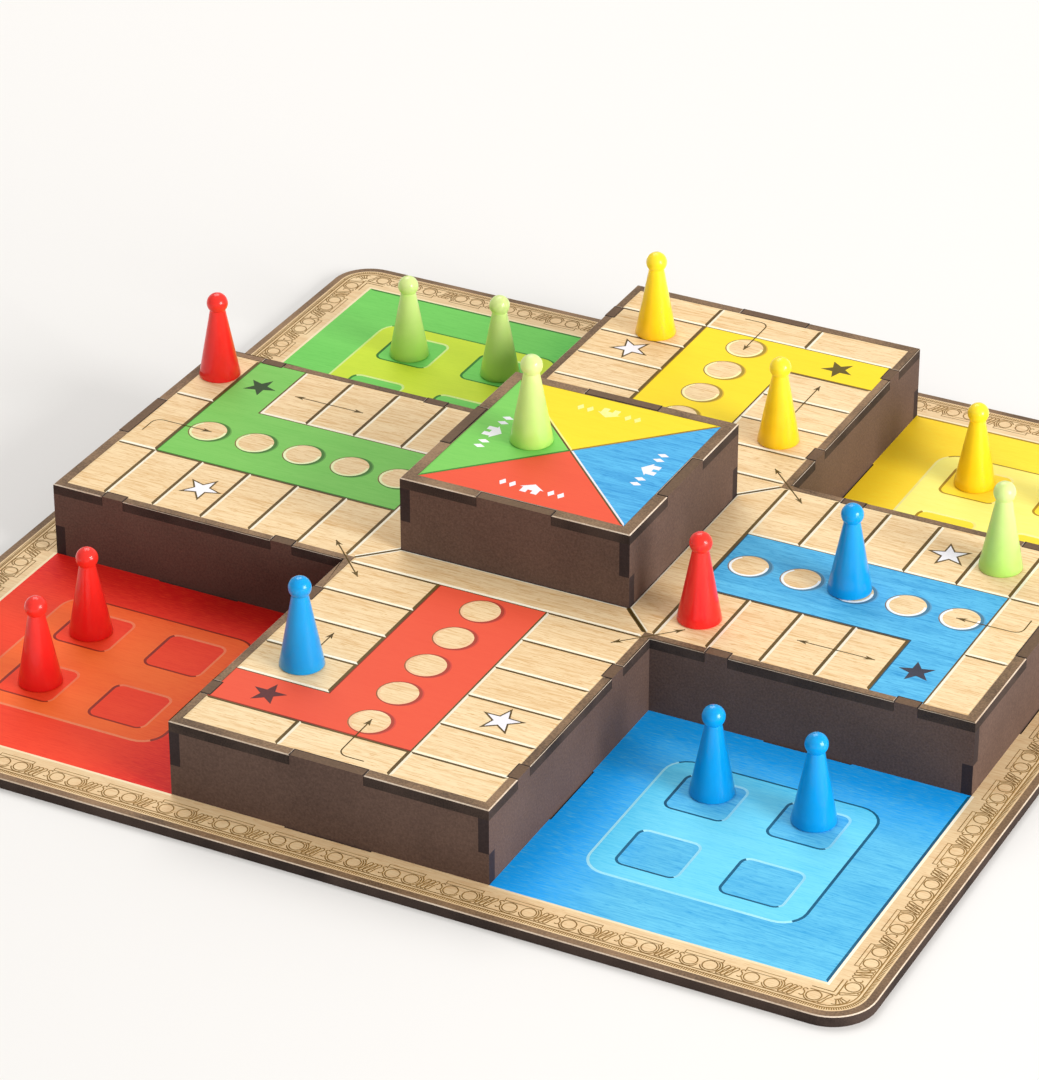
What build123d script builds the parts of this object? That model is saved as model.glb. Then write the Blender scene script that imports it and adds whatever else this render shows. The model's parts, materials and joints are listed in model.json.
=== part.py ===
"""A three-level ludo board set: base board, cross-shaped deck, home box, pawns and a die.

The boards and boxes are cut from one thickness of fibreboard. Each box is made of upright strips
with half-lapped corners. Their top tabs are glued into notches in the box's top panel, and their
foot tabs drop into slots in the panel below, so that each box lifts off. The origin is at the
middle of the base board's underside, with +Z up. The red arm points along -Y, the blue arm along
+X, the yellow arm along +Y and the green arm along -X.
"""

import os
from math import asin, cos, degrees, radians, sin, sqrt

from build123d import *

os.makedirs("parts", exist_ok=True)

# Sheet and base board
sheet = 3.0  # thickness of the fibreboard that every panel is cut from
board_margin = 13.5  # from the end of an arm to the edge of the base board
board_corner = 12.0  # radius of the base board's corners

# Cross-shaped deck
arm_width = 91.0  # also the side of the square where the arms meet
arm_length = 91.0  # from that square to the end of the arm
deck_wall = 19.0  # height of the strips under the deck's top panel

# Home box
home_side = 68.0
home_wall = 19.0  # height of the strips under the home box's top panel

# Joints of the sheets
lap_height = 9.0  # height of the lower finger at every corner
side_tab = 6.5  # width of the two top tabs of an arm's side wall
side_tab_inset = 19.0  # from the end of the side wall's outer face to the middle of a tab
end_tab = 21.0  # width of the top tab of an arm's end wall
home_tab = 22.0  # width of the top tab of a home wall
foot_tab = 24.0  # width of every foot tab
foot_recess = 0.5  # from the end of a foot tab to the underside of the panel that it sits in
kerf = 0.1  # gap that the cut leaves round a glued tab
slip = 0.2  # gap round a foot tab, so that the box lifts off

# Playing squares
rows = 6  # squares along each arm
columns = 3  # squares across each arm
yard_spot = 14.2  # from the middle of a yard to each of its four spots, along X and Y
home_spot = 12.2  # from the middle of the home box to a pawn that has come home

# Pawns, moulded with a hollow core
pawn_height = 26.0
foot_radius = 6.0
foot_round = 0.5  # rounding of the pawn's lower edge
skirt_height = 3.0  # top of the steeper band above the foot
skirt_radius = 5.5
neck_radius = 2.2
head_radius = 3.05
pawn_skin = 1.6  # least thickness round the hollow core
core_depth = 12.0

# Die, kept under the home box
die_side = 12.0
die_round = 1.4  # rounding of the die's edges
pip_radius = 1.15
pip_depth = 0.4
pip_pitch = 3.2  # from pip to pip
die_place = 17.0  # from the middle of the home box, along X and Y

half_arm = arm_width / 2
reach = half_arm + arm_length  # from the middle of the deck to the end of an arm
board_side = 2 * (reach + board_margin)
board_top = sheet
deck_top_z = board_top + deck_wall + sheet
home_top_z = deck_top_z + home_wall + sheet
foot_depth = sheet - foot_recess

colours = ["red", "blue", "yellow", "green"]  # anticlockwise from -Y
facing = {colour: (index - 1) * 360 / len(colours) for index, colour in enumerate(colours)}  # degrees


def turned(colour, outward, across):
    """A point given along an arm, from the middle of the board, and across it, anticlockwise."""
    angle = radians(facing[colour])
    return (
        outward * cos(angle) - across * sin(angle),
        outward * sin(angle) + across * cos(angle),
    )


def wall_plane(colour, distance, level):
    """Outer face of a wall that faces one arm's direction: x runs clockwise, y up, z inwards."""
    angle = radians(facing[colour])
    outward = Vector(cos(angle), sin(angle), 0)
    return Plane(
        origin=outward * distance + Vector(0, 0, level),
        x_dir=(sin(angle), -cos(angle), 0),
        z_dir=outward * -1,
    )


def wall(label, plane, start, stop, height, fingers, tabs, tab_width, foot):
    """One upright strip, from start to stop along its plane, with a finger at each end.

    fingers says for each end whether the strip keeps its upper or its lower half there. tabs are
    the middles of the tabs that go up through the top panel, and foot is the middle of the tab
    that goes down into the panel below.
    """
    with BuildPart() as strip:
        with BuildSketch(plane):
            with Locations(((start + stop) / 2, height / 2)):
                Rectangle(stop - start, height)
            for end, inwards, finger in ((start, 1, fingers[0]), (stop, -1, fingers[1])):
                low, high = (0, lap_height) if finger == "upper" else (lap_height, height)
                with Locations((end + inwards * sheet / 2, (low + high) / 2)):
                    Rectangle(sheet, high - low, mode=Mode.SUBTRACT)
            with Locations([(tab, height + sheet / 2) for tab in tabs]):
                Rectangle(tab_width, sheet)
            with Locations((foot, -foot_depth / 2)):
                Rectangle(foot_tab, foot_depth)
        extrude(amount=sheet)
    strip.part.label = label
    return strip.part


def slots(colour, distance, middle):
    """Slot for one foot tab, drawn in a panel's sketch under the wall that stands over it."""
    across = -middle  # a wall's own x runs clockwise
    with Locations(Location((*turned(colour, distance - sheet / 2, across), 0), facing[colour])):
        Rectangle(sheet + 2 * slip, foot_tab + 2 * slip, mode=Mode.SUBTRACT)


def notch(colour, distance, middle, tab_width):
    """Notch for one top tab, drawn in a panel's sketch at the panel's edge."""
    depth = sheet + kerf
    across = -middle
    with Locations(Location((*turned(colour, distance - depth / 2, across), 0), facing[colour])):
        Rectangle(depth, tab_width + 2 * kerf, mode=Mode.SUBTRACT)


# Places along the walls
side_middle = half_arm + arm_length / 2  # middle of an arm's side wall
side_tabs = [half_arm + side_tab_inset, reach - side_tab_inset]
half_home = home_side / 2

# Base board
with BuildPart() as base_board:
    with BuildSketch():
        RectangleRounded(board_side, board_side, board_corner)
        for colour in colours:
            slots(colour, reach, 0)
            slots(colour, half_arm, side_middle)
            slots(colour, half_arm, -side_middle)
    extrude(amount=sheet)
base_board.part.label = "base_board"
export_step(base_board.part, "parts/base_board.step")

# Deck: top panel in the shape of a cross
with BuildPart() as deck_top:
    with BuildSketch(Plane.XY.offset(deck_top_z - sheet)):
        Rectangle(arm_width, 2 * reach)
        Rectangle(2 * reach, arm_width)
        for colour in colours:
            notch(colour, reach, 0, end_tab)
            for tab in side_tabs:
                notch(colour, half_arm, tab, side_tab)
                notch(colour, half_arm, -tab, side_tab)
            slots(colour, half_home, 0)
    extrude(amount=sheet)
deck_top.part.label = "deck_top"
export_step(deck_top.part, "parts/deck_top.step")

# Deck: an end wall and two side walls for each arm. A side wall runs past the inner corner by one
# sheet, where it laps the side wall of the next arm.
inner_end = half_arm - sheet
for index, colour in enumerate(colours):
    following = colours[(index + 1) % len(colours)]  # next arm anticlockwise
    leading = colours[index - 1]  # next arm clockwise
    end_wall = wall(
        f"{colour}_arm_end_wall",
        wall_plane(colour, reach, board_top),
        -half_arm,
        half_arm,
        deck_wall,
        ("lower", "lower"),
        [0],
        end_tab,
        0,
    )
    wall_to_following = wall(
        f"{colour}_arm_{following}_side_wall",
        wall_plane(following, half_arm, board_top),
        inner_end,
        reach,
        deck_wall,
        ("lower", "upper"),
        side_tabs,
        side_tab,
        side_middle,
    )
    wall_to_leading = wall(
        f"{colour}_arm_{leading}_side_wall",
        wall_plane(leading, half_arm, board_top),
        -reach,
        -inner_end,
        deck_wall,
        ("upper", "upper"),
        [-tab for tab in side_tabs],
        side_tab,
        -side_middle,
    )
    for piece in (end_wall, wall_to_following, wall_to_leading):
        export_step(piece, f"parts/{piece.label}.step")

# Home box: square top panel and four walls
with BuildPart() as home_top:
    with BuildSketch(Plane.XY.offset(home_top_z - sheet)):
        Rectangle(home_side, home_side)
        for colour in colours:
            notch(colour, half_home, 0, home_tab)
    extrude(amount=sheet)
home_top.part.label = "home_top"
export_step(home_top.part, "parts/home_top.step")

home_fingers = {"red": "lower", "blue": "upper", "yellow": "lower", "green": "upper"}
for colour in colours:
    home_wall_piece = wall(
        f"home_{colour}_wall",
        wall_plane(colour, half_home, deck_top_z),
        -half_home,
        half_home,
        home_wall,
        (home_fingers[colour], home_fingers[colour]),
        [0],
        home_tab,
        0,
    )
    export_step(home_wall_piece, f"parts/{home_wall_piece.label}.step")


# Pawns
def on_arm(colour, column, row):
    """Middle of a square: column counts anticlockwise from the middle one, row from 1 outwards."""
    outward = half_arm + (row - 0.5) * arm_length / rows
    return (*turned(colour, outward, column * arm_width / columns), deck_top_z)


def in_yard(colour, spot_x, spot_y):
    """One of a yard's four spots. Each colour's yard lies clockwise of its arm."""
    yard_x, yard_y = turned(colour, side_middle, -side_middle)
    return (yard_x + spot_x * yard_spot, yard_y + spot_y * yard_spot, board_top)


def at_home(colour):
    """The place of a pawn on its own triangle of the home box."""
    return (*turned(colour, home_spot, 0), home_top_z)


def set_down(place, right, back):
    """A place moved along X and Y: a hand sets a pawn down a little off the middle of its spot."""
    return (place[0] + right, place[1] + back, place[2])


def pawn(label, place):
    """One pawn: a conical skirt, a tapered body and a ball for a head, hollow from below."""
    head_z = pawn_height - head_radius
    neck_z = head_z - sqrt(head_radius**2 - neck_radius**2)
    neck_angle = degrees(asin((neck_z - head_z) / head_radius))
    taper = (skirt_radius - neck_radius) / (neck_z - skirt_height)
    core_mouth = foot_radius - pawn_skin
    core_end = skirt_radius - taper * (core_depth - skirt_height) - pawn_skin
    with BuildPart() as piece:
        with BuildSketch(Plane.XZ.offset(-place[1])):
            with Locations((place[0], place[2])):
                with BuildSketch(mode=Mode.PRIVATE) as half:
                    with BuildLine():
                        Polyline(
                            (0, pawn_height),
                            (0, core_depth),
                            (core_end, core_depth),
                            (core_mouth, 0),
                            (foot_radius - foot_round, 0),
                        )
                        RadiusArc(
                            (foot_radius - foot_round, 0), (foot_radius, foot_round), -foot_round
                        )
                        Polyline(
                            (foot_radius, foot_round),
                            (skirt_radius, skirt_height),
                            (neck_radius, neck_z),
                        )
                        CenterArc((0, head_z), head_radius, neck_angle, 90 - neck_angle)
                    make_face()
                add(half.sketch)
        revolve(axis=Axis((place[0], place[1], 0), (0, 0, 1)))
    piece.part.label = label
    return piece.part


pawn_places = {
    "red": [
        set_down(in_yard("red", -1, 1), -0.8, -0.4),
        set_down(in_yard("red", -1, -1), 0.7, 0.1),
        set_down(on_arm("green", -1, 6), 0.9, 0.8),
        set_down(on_arm("blue", -1, 1), -0.3, -0.3),
    ],
    "blue": [
        set_down(in_yard("blue", -1, 1), 0.1, 3.1),
        set_down(in_yard("blue", 1, 1), 0.1, 2.9),
        set_down(on_arm("red", -1, 4), 1.5, 1.3),
        set_down(on_arm("blue", 0, 3), -1.5, 0.8),
    ],
    "yellow": [
        set_down(in_yard("yellow", -1, 1), -0.8, 0.6),
        set_down(in_yard("yellow", 1, 1), 0.5, -0.7),
        set_down(on_arm("yellow", 1, 5), 2.9, -2.7),
        set_down(on_arm("yellow", -1, 2), 1.1, -0.9),
    ],
    "green": [
        set_down(in_yard("green", -1, 1), -0.2, -1.7),
        set_down(in_yard("green", 1, 1), 1.5, -0.8),
        set_down(on_arm("blue", 1, 5), -0.6, -0.6),
        set_down(at_home("green"), 0.2, 0.3),
    ],
}
for colour, places in pawn_places.items():
    for number, place in enumerate(places, start=1):
        piece = pawn(f"{colour}_pawn_{number}", place)
        export_step(piece, f"parts/{piece.label}.step")

# Die: opposite faces add up to seven
pips = {
    1: [(0, 0)],
    2: [(-1, -1), (1, 1)],
    3: [(-1, -1), (0, 0), (1, 1)],
    4: [(-1, -1), (-1, 1), (1, -1), (1, 1)],
    5: [(-1, -1), (-1, 1), (0, 0), (1, -1), (1, 1)],
    6: [(-1, -1), (-1, 0), (-1, 1), (1, -1), (1, 0), (1, 1)],
}
die_faces = {
    1: (0, 0, 1),
    6: (0, 0, -1),
    2: (0, -1, 0),
    5: (0, 1, 0),
    3: (1, 0, 0),
    4: (-1, 0, 0),
}
die_middle = Vector(die_place, die_place, deck_top_z + die_side / 2)
pip_ball = (pip_radius**2 + pip_depth**2) / (2 * pip_depth)  # radius of the ball that cuts a pip
with BuildPart() as die:
    with Locations(die_middle):
        Box(die_side, die_side, die_side)
    fillet(die.edges(), die_round)
    for number, outward in die_faces.items():
        face_middle = die_middle + Vector(outward) * (die_side / 2)
        with Locations(Plane(origin=face_middle, z_dir=outward)):
            with Locations([(x * pip_pitch, y * pip_pitch) for x, y in pips[number]]):
                with Locations((0, 0, pip_ball - pip_depth)):
                    Sphere(pip_ball, mode=Mode.SUBTRACT)
die.part.label = "die"
export_step(die.part, "parts/die.step")
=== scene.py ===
import json
from math import atan2, cos, hypot, pi, radians, sin, sqrt

import bmesh
import bpy
from mathutils import Matrix, Vector

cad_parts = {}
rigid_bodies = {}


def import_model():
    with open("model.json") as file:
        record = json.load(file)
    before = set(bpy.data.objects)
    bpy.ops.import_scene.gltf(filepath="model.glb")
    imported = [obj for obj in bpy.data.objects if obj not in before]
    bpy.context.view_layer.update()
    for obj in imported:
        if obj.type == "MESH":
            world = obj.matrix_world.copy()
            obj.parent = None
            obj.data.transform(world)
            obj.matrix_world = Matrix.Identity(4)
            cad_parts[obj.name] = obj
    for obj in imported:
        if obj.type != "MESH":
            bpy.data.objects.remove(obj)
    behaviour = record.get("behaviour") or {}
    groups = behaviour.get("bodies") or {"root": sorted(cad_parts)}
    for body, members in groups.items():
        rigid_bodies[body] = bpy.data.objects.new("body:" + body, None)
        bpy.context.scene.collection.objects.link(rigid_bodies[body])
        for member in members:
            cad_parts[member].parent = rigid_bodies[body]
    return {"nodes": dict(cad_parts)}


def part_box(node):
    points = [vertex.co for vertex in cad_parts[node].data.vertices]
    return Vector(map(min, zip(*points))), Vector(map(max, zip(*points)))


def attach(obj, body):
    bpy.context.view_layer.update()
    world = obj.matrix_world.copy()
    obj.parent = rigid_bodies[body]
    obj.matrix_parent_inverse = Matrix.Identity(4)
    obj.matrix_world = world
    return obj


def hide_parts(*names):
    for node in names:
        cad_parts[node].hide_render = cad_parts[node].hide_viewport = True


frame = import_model()
scene = bpy.context.scene
mm = 0.001  # sizes are real ones, written in millimetres times this


# The view: a long lens, held still above the corner between the red and the blue arm. The objects
# that Blender starts with go first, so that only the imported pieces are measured.
view_azimuth = radians(27.034)
view_elevation = radians(29.972)
view_roll = radians(-0.116)
view_lens = 152.63  # mm, on film 36 mm high
view_place = Vector((0.4778, -0.9669, 0.6412))

for left_over in [thing for thing in scene.objects if thing.name in ("Cube", "Light", "Camera")]:
    bpy.data.objects.remove(left_over)
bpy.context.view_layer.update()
bpy.ops.object.camera_add()
camera = bpy.context.object
camera.data.lens = view_lens
camera.data.clip_end = 10
camera.matrix_world = (
    Matrix.Translation(view_place)
    @ Matrix.Rotation(view_azimuth, 4, "Z")
    @ Matrix.Rotation(pi / 2 - view_elevation, 4, "X")
    @ Matrix.Rotation(view_roll, 4, "Z")
)
scene.camera = camera
scene.view_settings.view_transform = "Standard"


# Floor: a plain pale table top, matt, that takes a soft shadow. It is only a setting for the
# object.
floor_side = 6.0
floor_colour = "#f1eeea"


def linear(written):
    """A colour written as sRGB hex, in the linear values that a shader takes."""
    shares = [int(written[place : place + 2], 16) / 255 for place in (1, 3, 5)]
    return (*[s / 12.92 if s <= 0.04045 else ((s + 0.055) / 1.055) ** 2.4 for s in shares], 1)


def add_node(finish, kind, inputs, **settings):
    """Adds one shader node to a material, with its settings, values and links."""
    added = finish.node_tree.nodes.new("ShaderNode" + kind)
    for name, value in settings.items():
        setattr(added, name, value)
    for name, value in inputs.items():
        if isinstance(value, bpy.types.NodeSocket):
            finish.node_tree.links.new(value, added.inputs[name])
        else:
            added.inputs[name].default_value = value
    return added


def new_finish(name, roughness, **values):
    """A new material, and the surface shader that it starts with."""
    finish = bpy.data.materials.new(name)
    finish.use_nodes = True
    surface = finish.node_tree.nodes["Principled BSDF"]
    surface.inputs["Roughness"].default_value = roughness
    for name, value in values.items():
        surface.inputs[name.replace("_", " ")].default_value = value
    return finish, surface


bpy.ops.object.select_all(action="DESELECT")
bpy.ops.mesh.primitive_plane_add(size=floor_side)
floor = bpy.context.object
floor.name = "table_top"
table_paint, table_surface = new_finish("matt_table_paint", 0.9, Specular_IOR_Level=0.2)
table_surface.inputs["Base Color"].default_value = linear(floor_colour)
floor.data.materials.append(table_paint)


# Light: a broad soft lamp high behind the green corner, a stronger one low beyond the blue arm,
# and an even white room.
room_strength = 0.535
lamp_distance = 1.9
lamps = {
    "soft_lamp_behind": ((-0.55, 0.75, 1.3), 15.0, 1.1),  # direction, watts, side in metres
    "soft_lamp_right": ((1.3, -0.3, 0.42), 39.0, 0.9),
}

room = scene.world or bpy.data.worlds.new("room")
scene.world = room
room.use_nodes = True
room.node_tree.nodes["Background"].inputs["Color"].default_value = (1, 1, 1, 1)
room.node_tree.nodes["Background"].inputs["Strength"].default_value = room_strength
for name, (direction, watts, side) in lamps.items():
    bpy.ops.object.light_add(type="AREA", location=Vector(direction).normalized() * lamp_distance)
    lamp = bpy.context.object
    lamp.name = name
    lamp.data.energy = watts
    lamp.data.size = side
    lamp.rotation_euler = Vector(direction).to_track_quat("Z", "Y").to_euler()


# Base board: one sheet of fibreboard, cut by laser and printed on its top with four coloured
# yards, a border of wood grain round them and a brown band along the edge. It is bare under the
# deck, whose foot tabs go into its slots.
board_low, board_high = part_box("base_board")
deck_low, deck_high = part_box("deck_top")
board_reach = board_high.x
board_top = board_high.z
reach = deck_high.x  # from the middle to the end of an arm
half_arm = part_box("red_arm_end_wall")[1].x
trim = 1.0 * mm  # what a sheet is made larger by before it is cut to its outline
board_corner = 12.0 * mm
edge_band = 2.3 * mm
arris = 0.25 * mm  # worn edge round the top of a cut sheet
yard_edge_line = 0.8 * mm  # dark one inside a yard's outer edge, and pale one outside it
tiny = 1e-6  # metres; below this two points are one
side_normal = 0.1  # a face whose normal rises less than this is a cut side, or the underside
top_normal = 0.9  # one whose normal rises more than this faces up
outline_stretch = 3  # how much taller than the sheet its cutter is
flat_angle = radians(0.5)  # faces that meet at less than this are one

# real fibres and pores are about a third as wide; at this width they show
grain_width = 0.6 * mm
grain_length = 9 * mm
pore_width = 0.3 * mm
pore_length = 3.2 * mm
figure_width = 7 * mm
figure_length = 90 * mm
wall_shade_width = 34 * mm  # of the painted shade that a yard has along the deck's walls
speck_width = 0.6 * mm  # of the fibres in a flat coat, drawn coarse like the grain
fine_speck = 0.5 * mm
cloud_width = 30  # of the broad mottle, in widths of a speck
satin = 0.5  # roughness of a flat coat
grain_satin = 0.55  # and of one with grain in it
dry_gloss = 0.15  # specular level of ink, of stain and of bare fibre


def pick_faces(piece, wanted):
    """In edit mode, selects the faces that pass a test, and no others."""
    bpy.ops.mesh.select_mode(type="FACE")
    bpy.ops.mesh.select_all(action="DESELECT")
    form = bmesh.from_edit_mesh(piece.data)
    for face in form.faces:
        if wanted(face):
            face.select_set(True)
    bmesh.update_edit_mesh(piece.data)


def pick_edges(piece, wanted):
    """In edit mode, selects the edges that pass a test, and no others."""
    bpy.ops.mesh.select_mode(type="EDGE")
    bpy.ops.mesh.select_all(action="DESELECT")
    form = bmesh.from_edit_mesh(piece.data)
    for edge in form.edges:
        if wanted(edge):
            edge.select_set(True)
    bmesh.update_edit_mesh(piece.data)


def middle(face):
    """The middle of a face's bounds: its mean point would lean to where its corners crowd."""
    low = [min(corner.co[axis] for corner in face.verts) for axis in (0, 1)]
    high = [max(corner.co[axis] for corner in face.verts) for axis in (0, 1)]
    return (low[0] + high[0]) / 2, (low[1] + high[1]) / 2


def score(lines):
    """Cuts the whole sheet along straight lines across X and across Y."""
    for line in lines:
        for across in ((1, 0, 0), (0, 1, 0)):
            bpy.ops.mesh.select_all(action="SELECT")
            bpy.ops.mesh.bisect(plane_co=Vector(across) * line, plane_no=across, threshold=tiny)


def raise_faces(height):
    """Extrudes the selected faces upwards."""
    bpy.ops.mesh.extrude_region_move(TRANSFORM_OT_translate={"value": (0, 0, height)})


def take(piece):
    """Selects one piece alone, and makes it the active one."""
    bpy.ops.object.select_all(action="DESELECT")
    piece.select_set(True)
    bpy.context.view_layer.objects.active = piece


def cut(piece, cutter, operation):
    """Cuts a piece with another one, which is then removed."""
    take(piece)
    step = piece.modifiers.new("cut", "BOOLEAN")
    step.operation = operation
    step.solver = "EXACT"
    step.object = cutter
    bpy.ops.object.modifier_apply(modifier=step.name)
    bpy.data.objects.remove(cutter)


def cut_to_outline(piece, node):
    """Cuts a sheet to the outline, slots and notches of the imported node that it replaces."""
    outline = frame["nodes"][node].copy()
    outline.data = outline.data.copy()
    outline.parent = None
    scene.collection.objects.link(outline)
    low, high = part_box(node)
    level = (low.z + high.z) / 2
    stretched = Matrix.Diagonal((1, 1, outline_stretch, 1))
    outline.data.transform(
        Matrix.Translation((0, 0, level)) @ stretched @ Matrix.Translation((0, 0, -level))
    )
    take(outline)
    bpy.ops.object.mode_set(mode="EDIT")
    bpy.ops.mesh.select_all(action="SELECT")
    bpy.ops.mesh.remove_doubles(threshold=tiny)
    bpy.ops.mesh.dissolve_limited(angle_limit=flat_angle)
    bpy.ops.object.mode_set(mode="OBJECT")
    cut(piece, outline, "INTERSECT")


def wear_arris(piece, level, width):
    """Bevels the edges between a sheet's top at this level and its cut sides."""
    bpy.ops.object.mode_set(mode="EDIT")
    pick_edges(
        piece,
        lambda edge: len(edge.link_faces) == 2
        and min(corner.co.z for corner in edge.verts) > level - tiny
        and min(corner.co.z for face in edge.link_faces for corner in face.verts) < level - 2 * width,
    )
    bpy.ops.mesh.bevel(offset=width, segments=1, affect="EDGES")
    bpy.ops.object.mode_set(mode="OBJECT")


def paint_faces(piece, finishes, choose):
    """Gives each face the finish that choose names for it."""
    slots = [finish.name for finish in piece.data.materials]
    for finish in finishes:
        if finish.name not in slots:
            piece.data.materials.append(finish)
            slots.append(finish.name)
    for face in piece.data.polygons:
        face.material_index = slots.index(choose(face).name)


def grained_print(name, light, dark, share, figure=0.5, wall_shade=None):
    """Printing ink cured on fibreboard, with the grain of a light wood along X.

    light and dark are the ink between the fibres and on them, share is how much of the dark ink
    the fibres get, and figure is how much of that the broad figure of the wood gets. The last
    argument is the colour that a yard's print fades to along the deck's walls: painted shade,
    where the walls shade the yard.
    """
    finish, surface = new_finish(name, grain_satin, Specular_IOR_Level=dry_gloss)
    place = add_node(finish, "TexCoord", {}).outputs["Object"]
    tones = []
    for width, length, detail in (
        (grain_width, grain_length, 4.0),
        (pore_width, pore_length, 2.0),
        (figure_width, figure_length, 3.0),
    ):
        stretched = add_node(
            finish, "Mapping", {"Vector": place, "Scale": (1 / length, 1 / width, 1 / width)}
        )
        tones.append(
            add_node(
                finish,
                "TexNoise",
                {
                    "Vector": stretched.outputs["Vector"],
                    "Scale": 1.0,
                    "Detail": detail,
                    "Roughness": 0.6,
                    "Distortion": 0.35,
                },
            ).outputs["Fac"]
        )
    fibres = add_node(
        finish,
        "MapRange",
        {"Value": tones[0], "From Min": 0.46, "From Max": 0.72, "To Max": 0.8 * share},
    )
    pores = add_node(
        finish, "MapRange", {"Value": tones[1], "From Min": 0.54, "From Max": 0.72, "To Max": share}
    )
    broad = add_node(
        finish,
        "MapRange",
        {"Value": tones[2], "From Min": 0.35, "From Max": 0.7, "To Max": figure * share},
    )
    fine = add_node(
        finish,
        "Math",
        {0: fibres.outputs["Result"], 1: pores.outputs["Result"]},
        operation="MAXIMUM",
    )
    all_tones = add_node(
        finish,
        "Math",
        {0: fine.outputs["Value"], 1: broad.outputs["Result"]},
        operation="ADD",
        use_clamp=True,
    )
    ink = add_node(
        finish,
        "MixRGB",
        {"Fac": all_tones.outputs["Value"], "Color1": linear(light), "Color2": linear(dark)},
    )
    # painted shade: the print deepens along the deck's walls, where the walls shade it
    if wall_shade:
        parts = add_node(finish, "SeparateXYZ", {"Vector": place})
        sides = [
            add_node(finish, "Math", {0: parts.outputs[axis]}, operation="ABSOLUTE").outputs["Value"]
            for axis in "XY"
        ]
        nearest = add_node(finish, "Math", {0: sides[0], 1: sides[1]}, operation="MINIMUM")
        fade = add_node(
            finish,
            "MapRange",
            {
                "Value": nearest.outputs["Value"],
                "From Min": half_arm,
                "From Max": half_arm + wall_shade_width,
                "To Min": 1.0,
                "To Max": 0.0,
            },
            interpolation_type="SMOOTHSTEP",
        )
        ragged = add_node(
            finish,
            "MapRange",
            {"Value": tones[1], "From Min": 0.3, "From Max": 0.7, "To Min": 0.4, "To Max": 1.5},
        )
        depth = add_node(
            finish,
            "Math",
            {0: fade.outputs["Result"], 1: ragged.outputs["Result"]},
            operation="MULTIPLY",
            use_clamp=True,
        )
        ink = add_node(
            finish,
            "MixRGB",
            {"Fac": depth.outputs["Value"], "Color1": ink.outputs["Color"], "Color2": linear(wall_shade)},
        )
    finish.node_tree.links.new(ink.outputs["Color"], surface.inputs["Base Color"])
    bump = add_node(
        finish,
        "Bump",
        {"Height": fine.outputs["Value"], "Strength": 0.12, "Distance": 0.05 * mm},
        invert=True,
    )
    finish.node_tree.links.new(bump.outputs["Normal"], surface.inputs["Normal"])
    return finish


def speckled(name, light, dark, grit=speck_width, roughness=satin):
    """Fibreboard, bare, scorched or under a flat coat of ink: its fine fibres show as a speckle.

    grit is the width of a speck.
    """
    finish, surface = new_finish(name, roughness, Specular_IOR_Level=dry_gloss)
    place = add_node(finish, "TexCoord", {}).outputs["Object"]
    specks = add_node(
        finish,
        "TexNoise",
        {"Vector": place, "Scale": 1 / grit, "Detail": 5.0, "Roughness": 0.65},
    )
    clouds = add_node(
        finish, "TexNoise", {"Vector": place, "Scale": 1 / (cloud_width * grit), "Detail": 2.0}
    )
    both = add_node(
        finish,
        "Math",
        {0: specks.outputs["Fac"], 1: clouds.outputs["Fac"]},
        operation="ADD",
    )
    tone = add_node(
        finish, "MapRange", {"Value": both.outputs["Value"], "From Min": 0.75, "From Max": 1.25}
    )
    colour = add_node(
        finish,
        "MixRGB",
        {"Fac": tone.outputs["Result"], "Color1": linear(dark), "Color2": linear(light)},
    )
    finish.node_tree.links.new(colour.outputs["Color"], surface.inputs["Base Color"])
    bump = add_node(
        finish,
        "Bump",
        {"Height": specks.outputs["Fac"], "Strength": 0.25, "Distance": 0.08 * mm},
    )
    finish.node_tree.links.new(bump.outputs["Normal"], surface.inputs["Normal"])
    return finish


# Wood-grain print: pale straw between the fibres and light tan on them, satin.
border_grain = grained_print("wood_grain_print_border", "#f2d6a8", "#dbb07e", 0.8)
# Brown band print: a flat mid brown with the board's speckle.
band_print = speckled("brown_band_print", "#9c7c5c", "#5c4734")
# The band's worn arris shows the pale fibre under the ink; it is painted paler still, as a
# painted highlight where the edge catches the light.
worn_and_highlit_arris = speckled("worn_and_highlit_arris", "#e2d0bc", "#bba289", fine_speck, 0.6)
# Laser-cut side of the sheet: scorched nearly black. The same finish draws the painted shade
# round the foot of the home box.
scorched_edge_and_foot_shade = speckled("scorched_edge_and_foot_shade", "#4a3c35", "#2e2521", 0.4 * mm, 0.8)
# Bare fibreboard: the underside of every sheet, and the top of the base board under the deck.
bare_fibreboard = speckled("bare_fibreboard", "#b08a5e", "#936f48", 0.8 * mm, 0.85)
# Line inks that make a shape look embossed: lit, weakly lit and in shade, in satin flat coats.
lit_line = speckled("lit_line_print", "#fff8e4", "#fef0d0")
soft_line = speckled("soft_line_print", "#fbe8c2", "#f5dcaf")
shade_line = speckled("shade_line_print", "#6c5426", "#57421c")
# Yard inks: bright coats with wood grain in them. Along the deck's walls they carry painted
# shade: deeper, and rougher-edged.
yard_inks = {
    "red": grained_print("red_yard_print", "#fc4a28", "#ee3018", 0.6, wall_shade="#e01a18"),
    "blue": grained_print("blue_yard_print", "#6acbee", "#2fa0da", 0.9, wall_shade="#04a4fc"),
    "yellow": grained_print("yellow_yard_print", "#ffe43c", "#fbce1c", 0.5, wall_shade="#ffd424"),
    "green": grained_print("green_yard_print", "#7cd462", "#60c04e", 0.5, wall_shade="#48b048"),
}
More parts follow.
